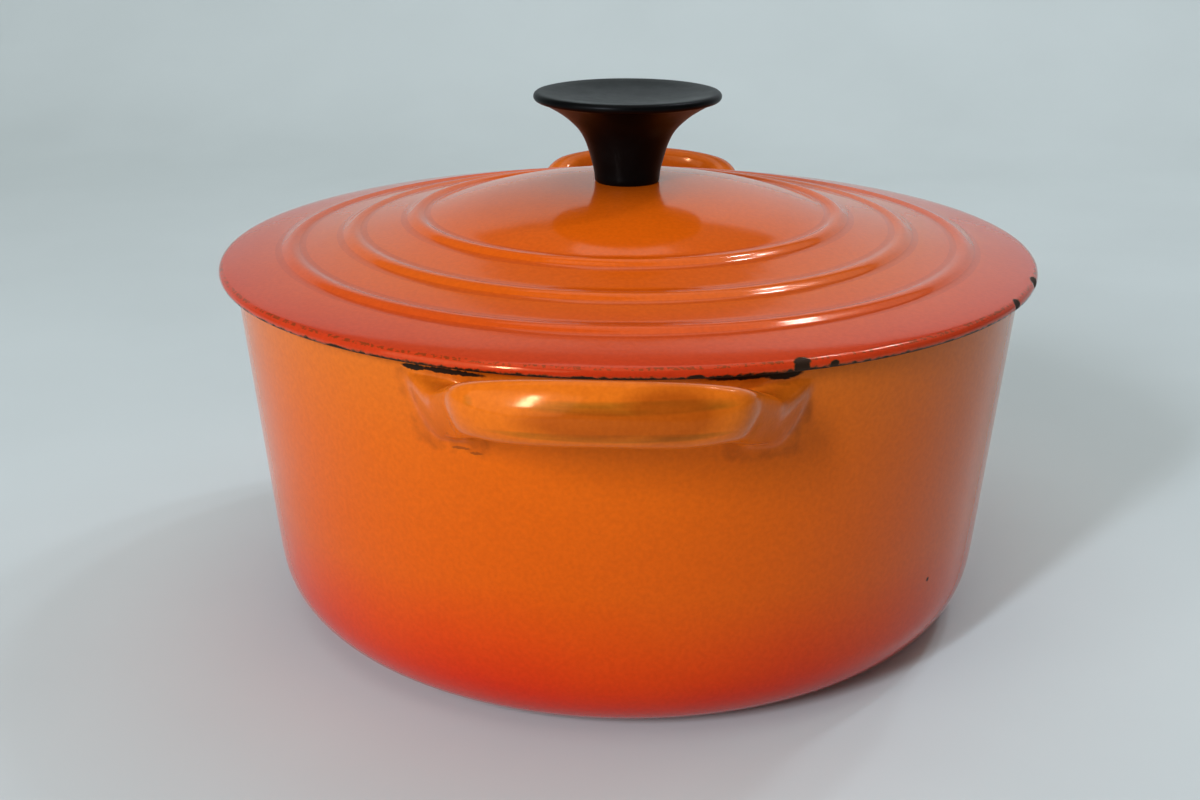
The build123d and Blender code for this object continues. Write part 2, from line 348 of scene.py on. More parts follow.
def root_patch(bm, column, row, crease):
    """The wall's faces that an arm grows from; their vertices get a column and a row.

    The crease, which painted shade darkens in the enamel, is 1 round the patch's edge.
    """
    step = math.radians(90) / POT_COLUMNS
    first, last = PATCH_COLUMNS
    patch = []
    for face in bm.faces:
        centre = face.calc_center_median()
        turn = math.atan2(centre.x, -centre.y) / step
        on_outside = math.hypot(centre.x, centre.y) > wall_radius(centre.z) - 1 * MM
        if first < turn < last and PATCH_ROWS[0] < centre.z < PATCH_ROWS[-1] and on_outside:
            patch.append(face)
    for vert in corners_of(patch):
        vert[column] = round(math.atan2(vert.co.x, -vert.co.y) / step) - first
        vert[row] = min(range(len(PATCH_ROWS)), key=lambda j: abs(PATCH_ROWS[j] - vert.co.z))
        if vert[column] in (0, ARM_COLUMNS) or vert[row] in (0, ARM_ROWS):
            vert[crease] = 1
    return patch


def grow_handle(bm):
    """Half a loop handle, extruded from a patch of the wall to the middle of the grip.

    Each extrusion's vertices go to their place in the next section: u from -1 inside to 1
    outside, v from 0 at the underside to 1 at the top.
    """
    column = bm.verts.layers.int.new("column")
    row = bm.verts.layers.int.new("row")
    crease = bm.verts.layers.float.new("crease")
    patch = root_patch(bm, column, row, crease)
    for vert in corners_of(patch):
        turn = ROOT_LEAN[vert[row]] * vert[column] / ARM_COLUMNS
        bmesh.ops.rotate(bm, verts=[vert], cent=(0, 0, 0), matrix=Matrix.Rotation(-turn, 3, "Z"))
    bmesh.ops.inset_region(bm, faces=patch, thickness=ROOT_INSET, use_even_offset=True)
    for centre, outward, half, face in handle_stations():
        grown = bmesh.ops.extrude_face_region(bm, geom=patch)["geom"]
        bmesh.ops.delete(bm, geom=patch, context="FACES")
        patch = [item for item in grown if isinstance(item, bmesh.types.BMFace)]
        for vert in corners_of(patch):
            vert[crease] = 0
            u = 2 * vert[column] / ARM_COLUMNS - 1
            v = vert[row] / ARM_ROWS
            place = centre + outward * half * u * (face if u > 0 else INNER_FACE)[vert[row]]
            low, high = handle_bottom(*place), handle_top(*place)
            rounding = 0.9 if abs(u) == 1 and v in (0, 1) else 1
            vert.co = (*place, (low + high) / 2 + (v - 0.5) * (high - low) * rounding)
    bmesh.ops.delete(bm, geom=patch, context="FACES")


def pot_finish(centre, normal):
    """A face's enamel: 0 is the orange outside, 1 the cream inside, 2 the black rim."""
    reach = math.hypot(centre.x, centre.y)
    inward = normal.dot(Vector((centre.x, centre.y, 0))) < -1e-4 * reach
    level = normal.z > 0.9
    on_rim = reach < RIM_RADIUS - ORANGE_LIP or (reach < RIM_RADIUS and level)
    if on_rim and centre.z > RIM_HEIGHT - BLACK_BAND:
        return 2
    if reach < RIM_RADIUS and centre.z > BASE_THICKNESS - 0.5 * MM and (inward or level):
        return 1
    return 0


def pot_casting(materials):
    """A quarter of the pot with half a handle, mirrored twice."""
    bm = bmesh.new()
    bmesh.ops.spin(
        bm,
        geom=profile_edges(bm, pot_profile()),
        cent=(0, 0, 0),
        axis=(0, 0, 1),
        angle=math.radians(90),
        steps=POT_COLUMNS,
    )
    bmesh.ops.remove_doubles(bm, verts=bm.verts, dist=MERGE)
    grow_handle(bm)
    for axis in "XY":
        bmesh.ops.mirror(bm, geom=bm.verts[:] + bm.edges[:] + bm.faces[:], merge_dist=NEAR, axis=axis)
    bmesh.ops.remove_doubles(bm, verts=bm.verts, dist=MERGE)
    bmesh.ops.recalc_face_normals(bm, faces=bm.faces)
    paint(bm, pot_finish)
    finish_piece(bm, "pot_casting", materials, "pot", "pot", levels=2)


# ---------------------------------------------------------------- lid
def crown_height(radius):
    """Height of the lid's slopes at a radius, straight from bead to bead."""
    stops = [(LID_RADIUS, LID_SEAT + LID_EDGE), *BEADS]
    for (outer, low), (inner, high) in zip(stops, stops[1:]):
        if radius >= inner:
            return low + (high - low) * (outer - radius) / (outer - inner)
    return DOME_FOOT[1]


def dome_height(radius, foot=DOME_FOOT, top=KNOB_SEAT):
    """Height of the dome between the knob's pad and the innermost bead, level at the pad."""
    run, fall = foot[0] - PAD_RADIUS, top - foot[1]
    bend = (run**2 + fall**2) / (2 * fall)
    return top - bend + math.sqrt(bend**2 - (radius - PAD_RADIUS) ** 2)


def bead_points(radius, height):
    """Section of one ring bead, a soft wave on the slopes that meet under it."""
    half = BEAD_WIDTH / 2
    inner = DOME_FOOT[1] if radius == BEADS[-1][0] else crown_height(radius - half)
    outer = crown_height(radius + half)
    lift = height + BEAD_HEIGHT - (inner + outer) / 2
    points = []
    for i in range(11):
        t = i / 5 - 1
        chord = outer * (1 + t) / 2 + inner * (1 - t) / 2
        points.append((radius + half * t, chord + lift * (1 + math.cos(math.pi * t)) / 2))
    return points


def lid_profile():
    """Section of the lid: hole, pad, dome, beads, flange, seat, rib and underside."""
    steps = 14
    dome = [PAD_RADIUS + (DOME_FOOT[0] - PAD_RADIUS) * i / steps for i in range(steps)]
    top = [(HOLE_RADIUS, KNOB_SEAT), (6 * MM, KNOB_SEAT), *[(r, dome_height(r)) for r in dome]]
    for radius, height in reversed(BEADS):
        top += bead_points(radius, height)
    edge_top = LID_SEAT + LID_EDGE
    plate_top = crown_height(RIB[0])
    flange = [
        (98 * MM, crown_height(98 * MM)),
        (104 * MM, crown_height(104 * MM)),
        *arc((LID_RADIUS - EDGE_ROUND, edge_top - EDGE_ROUND), EDGE_ROUND, 82, 0, 4),
        *arc((LID_RADIUS - LOWER_ROUND, LID_SEAT + LOWER_ROUND), LOWER_ROUND, 0, -90, 4),
        (103 * MM, LID_SEAT),
        (RIB[1] + RIB_ROOTS[1], LID_SEAT),
        (RIB[1], LID_SEAT - RIB_ROOTS[1]),
        (RIB[1], RIB_BOTTOM + RIB_CHAMFER),
        (RIB[1] - RIB_CHAMFER, RIB_BOTTOM),
        (RIB[0] + RIB_CHAMFER, RIB_BOTTOM),
        (RIB[0], RIB_BOTTOM + RIB_CHAMFER),
        (RIB[0], plate_top - LID_PLATE - RIB_ROOTS[0]),
        (RIB[0] - RIB_ROOTS[0], plate_top - LID_PLATE),
    ]
    radii = (BEADS[0][0], 81 * MM, BEADS[1][0], 65 * MM, BEADS[2][0])
    under = [(r, crown_height(r) - LID_PLATE) for r in radii]
    foot = (DOME_FOOT[0], DOME_FOOT[1] - LID_PLATE)
    inner_dome = [(r, dome_height(r, foot, KNOB_SEAT - LID_PLATE)) for r in reversed(dome[::2])]
    hole = [(HOLE_RADIUS, KNOB_SEAT - LID_PLATE)]
    return top + flange + under + [foot] + inner_dome + hole


def lid_finish(centre, normal):
    """A face's enamel: 0 is the orange and red top, 1 the cream inside, 2 the black seat and rib."""
    reach = math.hypot(centre.x, centre.y)
    below = normal.z < 0 or (reach < RIB[1] + 1 * MM and centre.z < LID_SEAT + 1 * MM)
    if SEAT_RING[0] < reach < SEAT_RING[1] and centre.z < LID_SEAT + 0.2 * MM:
        return 2
    if below and reach < RIB[0] + 0.5 * MM:
        return 1
    return 0


def lid_casting(materials):
    """The whole lid, turned from its section."""
    bm = turned(lid_profile(), 128, closed=True)
    paint(bm, lid_finish)
    finish_piece(bm, "lid_casting", materials, "lid", "lid", levels=1)


# ---------------------------------------------------------------- knob and its fastening
def knob_moulding(material):
    """Trumpet of the knob, its rounded rim, its dish and the blind hole for the insert."""
    flare = [(r * MM, KNOB_SEAT + z * MM) for r, z in TRUMPET]
    lip = (KNOB_TOP - flare[-1][1]) / 2
    rim = arc((KNOB_RADIUS - lip, KNOB_TOP - lip), lip, -70, 90, 6)
    steps = 8
    dish_radius = KNOB_RADIUS - DISH_INSET
    dish = []
    for i in range(steps + 1):
        share = 1 - i / steps
        dish.append((dish_radius * share, KNOB_TOP - DISH_DEPTH * (1 - share**2)))
    profile = [
        (0, KNOB_SEAT + BORE_DEPTH),
        (INSERT_BORE, KNOB_SEAT + BORE_DEPTH),
        (INSERT_BORE, KNOB_SEAT + BORE_CHAMFER),
        (INSERT_BORE + BORE_CHAMFER, KNOB_SEAT),
        (flare[0][0] - KNOB_BASE_ROUND, KNOB_SEAT),
        (flare[0][0], KNOB_SEAT + KNOB_BASE_ROUND),
        *smooth_through(flare, 3)[2:],
        *rim,
        *dish,
    ]
    finish_piece(turned(profile, 96), "knob_moulding", [material], "knob", "knob")


def thread_turns(bm, bottom, top):
    """A V thread of real pitch with a narrow flat crest, wound up the shank, with its ends capped."""
    steps = 20
    section = [(THREAD_ROOT, 0), (SCREW_RADIUS, 0.4 * THREAD_PITCH), (SCREW_RADIUS, 0.55 * THREAD_PITCH)]
    section += [(THREAD_ROOT, 0.95 * THREAD_PITCH), (THREAD_ROOT, THREAD_PITCH)]
    turns = int((top - bottom) / THREAD_PITCH) - 1
    bmesh.ops.spin(
        bm,
        geom=profile_edges(bm, [(r, bottom + z) for r, z in section]),
        cent=(0, 0, 0),
        axis=(0, 0, 1),
        angle=math.tau * turns,
        steps=steps * turns,
        dvec=(0, 0, THREAD_PITCH / steps),
    )
    bmesh.ops.remove_doubles(bm, verts=bm.verts, dist=MERGE)
    bmesh.ops.holes_fill(bm, edges=[edge for edge in bm.edges if edge.is_boundary])


def screw_core(bm):
    """The shank under the thread, with its chamfered tip."""
    tip = SCREW_HIGH.z
    profile = [(0, HEAD_SEAT), (THREAD_ROOT, HEAD_SEAT), (THREAD_ROOT, tip - TIP_CHAMFER)]
    profile += [(THREAD_ROOT - TIP_CHAMFER, tip), (0, tip)]
    before = set(bm.faces)
    bmesh.ops.spin(
        bm,
        geom=profile_edges(bm, profile),
        cent=(0, 0, 0),
        axis=(0, 0, 1),
        angle=math.tau,
        steps=32,
        use_merge=True,
    )
    core = [face for face in bm.faces if face not in before]
    bmesh.ops.remove_doubles(bm, verts=list(corners_of(core)), dist=MERGE)


def slotted_head(bm):
    """The head: a disc that the slot's two edges cut, a full upper layer and two lobes under it."""
    roof = SCREW_LOW.z + SLOT_DEPTH
    disc = bmesh.ops.create_circle(
        bm, cap_ends=True, segments=48, radius=HEAD_RADIUS, matrix=Matrix.Translation((0, 0, roof))
    )["verts"]
    for side in (-1, 1):
        faces = {face for vert in disc for face in vert.link_faces}
        edges = {edge for face in faces for edge in face.edges}
        cut = bmesh.ops.bisect_plane(
            bm,
            geom=list(faces | edges | corners_of(faces)),
            plane_co=(0, side * SLOT_WIDTH / 2, 0),
            plane_no=(0, 1, 0),
        )["geom"]
        disc = list(set(verts_in(cut)) | {vert for vert in disc if vert.is_valid})
    faces = list({face for vert in disc for face in vert.link_faces})
    lobes = [face for face in faces if abs(face.calc_center_median().y) > SLOT_WIDTH / 2]
    upper = bmesh.ops.extrude_face_region(bm, geom=faces)["geom"]
    bmesh.ops.translate(bm, verts=verts_in(upper), vec=(0, 0, HEAD_SEAT - roof))
    lower = bmesh.ops.extrude_face_region(bm, geom=lobes)["geom"]
    bmesh.ops.delete(bm, geom=lobes, context="FACES_ONLY")
    bmesh.ops.translate(bm, verts=verts_in(lower), vec=(0, 0, -SLOT_DEPTH))


def on_head_lip(vert):
    """Whether a vertex lies on the outer edge of the head's underside."""
    return abs(vert.co.z - SCREW_LOW.z) < MERGE and vert.co.xy.length > HEAD_RADIUS - NEAR


def knob_screw_machined(material):
    """Cheese-head screw: a slotted head with a rounded lip, then the threaded shank."""
    bm = bmesh.new()
    thread_turns(bm, HEAD_SEAT, SCREW_HIGH.z - THREAD_PITCH)
    screw_core(bm)
    slotted_head(bm)
    lip = [edge for edge in bm.edges if all(on_head_lip(vert) for vert in edge.verts)]
    bmesh.ops.bevel(bm, geom=lip, offset=HEAD_ROUND, segments=3, profile=0.5, affect="EDGES", material=-1)
    bmesh.ops.recalc_face_normals(bm, faces=bm.faces)
    name = "knob_screw_machined"
    finish_piece(bm, name, [material], "screw", "knob_screw", smooth=False)


# ---------------------------------------------------------------- materials
# Sockets that share a name go by number: those of Math and Vector Math in order, and a Mix
# node's factor, two numbers and two colours as here.
FACTOR = 0
NUMBER_A, NUMBER_B, NUMBER_OUT = 2, 3, 0
COLOUR_A, COLOUR_B, COLOUR_OUT = 6, 7, 2


def new_material(name):
    """A node material, its tree and its shader."""
    material = bpy.data.materials.new(name)
    material.use_nodes = True
    tree = material.node_tree
    return material, tree, tree.nodes["Principled BSDF"]


def ragged(tree, place, size, reach):
    """The place, pushed about by some mm in a pattern of some mm, so that marks get torn edges."""
    noise = add(tree, "TexNoise", {"Vector": place, "Scale": 1 / (size * MM), "Detail": 4, "Roughness": 0.65})
    push = add(tree, "VectorMath", {0: noise.outputs["Color"], 1: (0.5, 0.5, 0.5)}, operation="SUBTRACT")
    spread = [2 * reach * MM] * 3
    moved = add(tree, "VectorMath", {0: push.outputs[0], 1: spread, 2: place}, operation="MULTIPLY_ADD")
    return moved.outputs[0]


def spots(tree, place, marks):
    """1 inside the marks and 0 well away; each mark is a centre and its half sizes, in mm."""
    total = 0.0
    for centre, half in marks:
        scale = [1 / (h * MM) for h in half]
        shift = [-c / h for c, h in zip(centre, half)]
        local = add(tree, "VectorMath", {0: place, 1: scale, 2: shift}, operation="MULTIPLY_ADD")
        away = add(tree, "VectorMath", {0: local.outputs[0]}, operation="LENGTH").outputs["Value"]
        inside = add(tree, "MapRange", {"Value": away, "From Min": 1.4, "From Max": 0.8})
        total = add(tree, "Math", {0: inside.outputs[0], 1: total}, operation="MAXIMUM").outputs[0]
    return total


def fired_glaze(tree, shader, place, colour, wear_and_shade, gloss, peel_depth):
    """Finishes an enamel: its grain, its orange peel, and near-black iron where the mask says it has worn
    away; on the pot the same mask also paints shade and shadow.
    """
    grain = add(tree, "TexNoise", {"Vector": place, "Scale": 1 / (1.1 * MM), "Detail": 2})
    shades = ((0.3, "#f3eee8"), (0.7, "#ffffff"))
    tone = add(tree, "ValToRGB", {"Fac": grain.outputs["Fac"]}, stops=shades).outputs["Color"]
    sockets = {FACTOR: 1.0, COLOUR_A: colour, COLOUR_B: tone}
    glaze = add(tree, "Mix", sockets, data_type="RGBA", blend_type="MULTIPLY").outputs[COLOUR_OUT]
    # brown at the edges of worn spots, and on the pot painted shade under the left root
    scorch_and_shade = add(tree, "MapRange", {"Value": wear_and_shade, "From Min": 0.2, "From Max": 0.55}).outputs[0]
    sockets = {FACTOR: scorch_and_shade, COLOUR_A: glaze, COLOUR_B: linear("#6e3410")}
    browned_and_shaded = add(tree, "Mix", sockets, data_type="RGBA").outputs[COLOUR_OUT]
    # near-black iron where enamel is worn away, and on the pot painted shadow under the lid
    bare_and_shadow = add(tree, "MapRange", {"Value": wear_and_shade, "From Min": 0.55, "From Max": 0.7}).outputs[0]
    sockets = {FACTOR: bare_and_shadow, COLOUR_A: browned_and_shaded, COLOUR_B: linear("#120f0d")}
    final = add(tree, "Mix", sockets, data_type="RGBA").outputs[COLOUR_OUT]
    tree.links.new(final, shader.inputs["Base Color"])
    sockets = {FACTOR: bare_and_shadow, NUMBER_A: gloss, NUMBER_B: 0.7}
    rough = add(tree, "Mix", sockets, data_type="FLOAT").outputs[NUMBER_OUT]
    tree.links.new(rough, shader.inputs["Roughness"])
    peel = add(tree, "TexNoise", {"Vector": place, "Scale": 1 / (5 * MM), "Detail": 3, "Roughness": 0.55})
    skin = add(tree, "Bump", {"Height": peel.outputs["Fac"], "Distance": peel_depth, "Strength": 1.0})
    sockets = {"Height": bare_and_shadow, "Distance": 0.25 * MM, "Normal": skin.outputs["Normal"]}
    pit = add(tree, "Bump", sockets, invert=True)
    tree.links.new(pit.outputs["Normal"], shader.inputs["Normal"])
    shader.inputs["IOR"].default_value = 1.5
    shader.inputs["Specular Tint"].default_value = linear("#ffb680")


# Chips of the pot, in mm, whose near-black iron under the lid also stands as painted shadow of the gap
# there: under the lid beside both roots of the front handle, two flecks on the wall, and under the lid at the
# back.
POT_CHIPS_AND_SHADOW = [
    ((-34.5, -98.2, 93.1), (12, 2.6, 0.55)),
    ((-42, -94.8, 93.0), (3, 2, 0.6)),
    ((29, -99, 94.1), (13, 3, 0.9)),
    ((37.5, -96.5, 93.7), (4, 3, 1.2)),
    ((-12, -103, 94.6), (16, 4, 0.5)),
    ((77.4, -60.1, 28.5), (0.5, 0.5, 0.5)),
    ((-80, 58, 40), (0.7, 0.7, 0.8)),
    ((36, 98, 93.4), (11, 5, 1.0)),
    ((-40, 96, 92.8), (5, 3, 1.2)),
]
# Painted shade in the crevice under the left root, and a fine scuff on the grip.
POT_SCUFFS_AND_SHADE = [
    ((-32, -97, 75.2), (2.2, 3, 0.4)),
    ((-28.5, -98, 74.4), (1.4, 3, 0.3)),
    ((-26, -127, 99.5), (2, 3, 0.4)),
]
# Burnt-on grease in streaks along the grip, with a painted dark reflection along its upper face.
POT_GREASE_AND_REFLECTION_STREAKS = [
    ((10, -129, 96.4), (27, 7, 1.3)),
    ((4, -128.5, 90.2), (24, 7, 0.9)),
    ((-26.5, -127, 96), (1.6, 4, 1.6)),
]
# Where the grips are painted darker and browner: painted shade on the right of the front grip and over the
# back grip, with some browning.
POT_SHADE_AND_BROWNING = [
    ((14, -127, 94.5), (9, 8, 5)),
    ((0, -127, 93), (14, 8, 3)),
    ((4, 122, 97), (34, 11, 10)),
]
# Sprayed colours by height, from the foot to the rim.
POT_COLOURS = (
    (0.0, "#c41e0e"),
    (0.12, "#d02a0c"),
    (0.26, "#da440a"),
    (0.42, "#de5908"),
    (0.75, "#e06308"),
    (1.0, "#e37018"),
)


def sprayed_pot(tree, place):
    """The pot's colour, shaded by height in a fade that wanders by 7 mm."""
    drift = add(tree, "TexNoise", {"Vector": place, "Scale": 1 / (55 * MM), "Detail": 2}).outputs["Fac"]
    offset = add(tree, "MapRange", {"Value": drift, "To Min": -7 * MM, "To Max": 7 * MM}).outputs[0]
    height = add(tree, "SeparateXYZ", {"Vector": place}).outputs["Z"]
    level = add(tree, "Math", {0: height, 1: offset}, operation="ADD").outputs[0]
    share = add(tree, "MapRange", {"Value": level, "From Max": RIM_HEIGHT}).outputs[0]
    return add(tree, "ValToRGB", {"Fac": share}, stops=POT_COLOURS).outputs["Color"]


def grease_and_painted_light(tree, place, colour):
    """The colour with burnt grease and a painted dark reflection streaked along the grip, painted shade with
    some browning on the grips, and painted shade along the crease where the arms meet the wall.
    """
    # the streaks of grease and painted dark reflection are 17 mm long across the pot, 5 mm deep and 1.4 mm
    # high
    streaks = add(tree, "VectorMath", {0: place, 1: (60, 200, 700)}, operation="MULTIPLY").outputs[0]
    streak_noise = add(tree, "TexNoise", {"Vector": streaks, "Scale": 1.0, "Detail": 4}).outputs["Fac"]
    grease_and_reflection = add(tree, "Math", {0: spots(tree, place, POT_GREASE_AND_REFLECTION_STREAKS), 1: streak_noise}, operation="MULTIPLY").outputs[0]
    grease_and_reflection_film = add(tree, "MapRange", {"Value": grease_and_reflection, "From Min": 0.15, "From Max": 0.8, "To Max": 0.75})
    # olive-brown streaks: partly grease, partly a painted dark reflection
    sockets = {FACTOR: grease_and_reflection_film.outputs[0], COLOUR_A: colour, COLOUR_B: linear("#6d5413")}
    stained = add(tree, "Mix", sockets, data_type="RGBA").outputs[COLOUR_OUT]
    # painted shade on the grips, with some browning, as a browner colour
    shade_and_browning = add(tree, "Math", {0: spots(tree, place, POT_SHADE_AND_BROWNING), 1: 0.55}, operation="MULTIPLY")
    sockets = {FACTOR: shade_and_browning.outputs[0], COLOUR_A: stained, COLOUR_B: linear("#8a2f04")}
    browned_and_shaded = add(tree, "Mix", sockets, data_type="RGBA").outputs[COLOUR_OUT]
    # painted shade: a patchy dark line along the crease round each arm's root
    crease = add(tree, "Attribute", attribute_name="crease").outputs["Fac"]
    patchy = add(tree, "TexNoise", {"Vector": place, "Scale": 1 / (4 * MM), "Detail": 4}).outputs["Fac"]
    crease_shade = add(tree, "Math", {0: crease, 1: patchy}, operation="MULTIPLY").outputs[0]
    crease_shade_share = add(tree, "MapRange", {"Value": crease_shade, "From Min": 0.42, "From Max": 0.75, "To Max": 0.45})
    sockets = {FACTOR: crease_shade_share.outputs[0], COLOUR_A: browned_and_shaded, COLOUR_B: linear("#7a2c0c")}
    return add(tree, "Mix", sockets, data_type="RGBA").outputs[COLOUR_OUT]


def pot_enamel():
    """Vitreous enamel fired on cast iron: sprayed orange, shaded to red towards the foot.

    Fired glass gives an even gloss with a soft orange peel. It darkens with burnt grease and with painted
    shade and reflection, and breaks away to near-black iron where the lid knocks it; that near-black is also
    painted as shadow under the lid.
    """
    material, tree, shader = new_material("orange_vitreous_enamel")
    place = add(tree, "TexCoord").outputs["Object"]
    colour = grease_and_painted_light(tree, place, sprayed_pot(tree, place))
    torn = ragged(tree, place, 1.3, 0.6)
    # painted shade under the left root and a scuff on the grip, at part strength so they brown the enamel
    scuffs_and_shade = add(tree, "Math", {0: spots(tree, torn, POT_SCUFFS_AND_SHADE), 1: 0.42}, operation="MULTIPLY").outputs[0]
    # chips, with painted shadow under the lid and painted shade under the left root
    wear_and_shade = add(tree, "Math", {0: spots(tree, torn, POT_CHIPS_AND_SHADOW), 1: scuffs_and_shade}, operation="MAXIMUM").outputs[0]
    fired_glaze(tree, shader, place, colour, wear_and_shade, 0.13, 0.028 * MM)
    shader.inputs["Specular IOR Level"].default_value = 0.38
    return material


# Wear of the lid's rim, in mm: one large knock at the front right and some at the right edge.
LID_CHIPS = [
    ((41.2, -99.8, 95.9), (1.7, 1.7, 2.0)),
    ((41.4, -99.7, 97.4), (1.8, 1.8, 0.8)),
    ((48.3, -96.6, 96.0), (1.0, 1.0, 0.8)),
    ((95.2, -51.0, 96.6), (1.6, 1.6, 1.6)),
    ((103.2, -32.0, 97.0), (1.6, 3.0, 1.6)),
    ((-4.4, -107.9, 95.3), (3.0, 1.5, 0.6)),
    ((19.1, -106.3, 95.4), (1.8, 1.5, 0.7)),
    ((-60, -89.8, 95.1), (4, 3, 0.8)),
    ((-88, 62, 96), (1.5, 1.5, 1.5)),
    ((52, 94.6, 95.4), (3, 2, 1.0)),
]
# Sprayed colours by radius, from the knob to the rim.
LID_COLOURS = ((0.1, "#e0620a"), (0.5, "#de5c0a"), (0.72, "#dc5c0d"), (0.86, "#d64d13"), (1.0, "#c93a18"))


def sprayed_lid(tree, place, reach):
    """The lid's colour, shaded by radius, and darker in a narrow ring at each foot of each bead."""
    drift = add(tree, "TexNoise", {"Vector": place, "Scale": 1 / (50 * MM), "Detail": 2}).outputs["Fac"]
    offset = add(tree, "MapRange", {"Value": drift, "To Min": -5 * MM, "To Max": 5 * MM}).outputs[0]
    level = add(tree, "Math", {0: reach, 1: offset}, operation="ADD").outputs[0]
    share = add(tree, "MapRange", {"Value": level, "From Max": LID_RADIUS}).outputs[0]
    colour = add(tree, "ValToRGB", {"Fac": share}, stops=LID_COLOURS).outputs["Color"]
    for radius, _ in BEADS:
        for side in (-1, 1):
            foot = radius + side * 0.47 * BEAD_WIDTH
            bead_foot_ring = add(tree, "Math", {0: reach, 1: foot, 2: 0.9 * MM}, operation="COMPARE").outputs[0]
            bead_foot_darkening = add(tree, "Math", {0: bead_foot_ring, 1: 0.3}, operation="MULTIPLY").outputs[0]
            sockets = {FACTOR: bead_foot_darkening, COLOUR_A: colour, COLOUR_B: linear("#a8320a")}
            colour = add(tree, "Mix", sockets, data_type="RGBA").outputs[COLOUR_OUT]
    return colour


def rim_wear(tree, place, reach):
    """Wear of the lid's rim: scraped off along its lower edge, dotted with brown along its upper one."""
    low = add(tree, "SeparateXYZ", {"Vector": ragged(tree, place, 1.5, 1.2)}).outputs["Z"]
    edge = {"Value": low, "From Min": LID_SEAT + 1.2 * MM, "From Max": LID_SEAT + 0.2 * MM}
    scrape = add(tree, "MapRange", edge).outputs[0]
    height = add(tree, "SeparateXYZ", {"Vector": place}).outputs["Z"]
    crest_height = LID_SEAT + LID_EDGE - 0.3 * MM
    crest = add(tree, "Math", {0: height, 1: crest_height, 2: 0.28 * MM}, operation="COMPARE").outputs[0]
    outer = add(tree, "Math", {0: reach, 1: LID_RADIUS - 1.2 * MM}, operation="GREATER_THAN").outputs[0]
    line = add(tree, "Math", {0: crest, 1: outer}, operation="MULTIPLY").outputs[0]
    rubs = add(tree, "TexNoise", {"Vector": place, "Scale": 1 / (0.9 * MM), "Detail": 4}).outputs["Fac"]
    dots = add(tree, "Math", {0: line, 1: rubs}, operation="MULTIPLY").outputs[0]
    thin = add(tree, "MapRange", {"Value": dots, "From Min": 0.46, "From Max": 0.56, "To Max": 0.45})
    worn = add(tree, "Math", {0: scrape, 1: thin.outputs[0]}, operation="MAXIMUM").outputs[0]
    chips = spots(tree, ragged(tree, place, 1.0, 0.5), LID_CHIPS)
    return add(tree, "Math", {0: worn, 1: chips}, operation="MAXIMUM").outputs[0]


def lid_enamel():
    """The pot's enamel on the lid: orange in the middle, red at the edge, smoother and glossier.

    It thins to brown along the rim's sharp upper crease and is gone along the lower one, where
    the lid meets the pot each time that it is set down.
    """
    material, tree, shader = new_material("lid_vitreous_enamel")
    place = add(tree, "TexCoord").outputs["Object"]
    flat = add(tree, "VectorMath", {0: place, 1: (1, 1, 0)}, operation="MULTIPLY").outputs[0]
    reach = add(tree, "VectorMath", {0: flat}, operation="LENGTH").outputs["Value"]
    colour = sprayed_lid(tree, place, reach)
    fired_glaze(tree, shader, place, colour, rim_wear(tree, place, reach), 0.11, 0.022 * MM)
    return material


def cream_enamel():
    """Pale sand-coloured enamel inside, glossy, a little stained by cooking, with fine brown specks."""
    material, tree, shader = new_material("sand_vitreous_enamel")
    place = add(tree, "TexCoord").outputs["Object"]
    cloud = add(tree, "TexNoise", {"Vector": place, "Scale": 1 / (35 * MM), "Detail": 6, "Roughness": 0.6})
    shades = ((0.32, "#c8b28a"), (0.6, "#d9ccaf"), (0.8, "#dfd3ba"))
    stained = add(tree, "ValToRGB", {"Fac": cloud.outputs["Fac"]}, stops=shades).outputs["Color"]
    fleck = add(tree, "TexNoise", {"Vector": place, "Scale": 1 / (0.8 * MM), "Detail": 2})
    shades = ((0.28, "#8c7452"), (0.36, "#ffffff"))
    specks = add(tree, "ValToRGB", {"Fac": fleck.outputs["Fac"]}, stops=shades).outputs["Color"]
    sockets = {FACTOR: 0.6, COLOUR_A: stained, COLOUR_B: specks}
    mixed = add(tree, "Mix", sockets, data_type="RGBA", blend_type="MULTIPLY").outputs[COLOUR_OUT]
    tree.links.new(mixed, shader.inputs["Base Color"])
    shader.inputs["Roughness"].default_value = 0.22
    peel = add(tree, "TexNoise", {"Vector": place, "Scale": 1 / (6 * MM), "Detail": 2})
    skin = add(tree, "Bump", {"Height": peel.outputs["Fac"], "Distance": 0.05 * MM})
    tree.links.new(skin.outputs["Normal"], shader.inputs["Normal"])
    return material


def black_rim():
    """Matt black ground-coat enamel on the rims, rubbed smoother where lid and pot meet."""
    material, tree, shader = new_material("black_ground_enamel")
    place = add(tree, "TexCoord").outputs["Object"]
    rub = add(tree, "TexNoise", {"Vector": place, "Scale": 1 / (9 * MM), "Detail": 5}).outputs["Fac"]
    tone = add(tree, "ValToRGB", {"Fac": rub}, stops=((0.35, "#131110"), (0.7, "#2b2623")))
    tree.links.new(tone.outputs["Color"], shader.inputs["Base Color"])
    gloss = add(tree, "MapRange", {"Value": rub, "To Min": 0.62, "To Max": 0.4}).outputs[0]
    tree.links.new(gloss, shader.inputs["Roughness"])
    return material


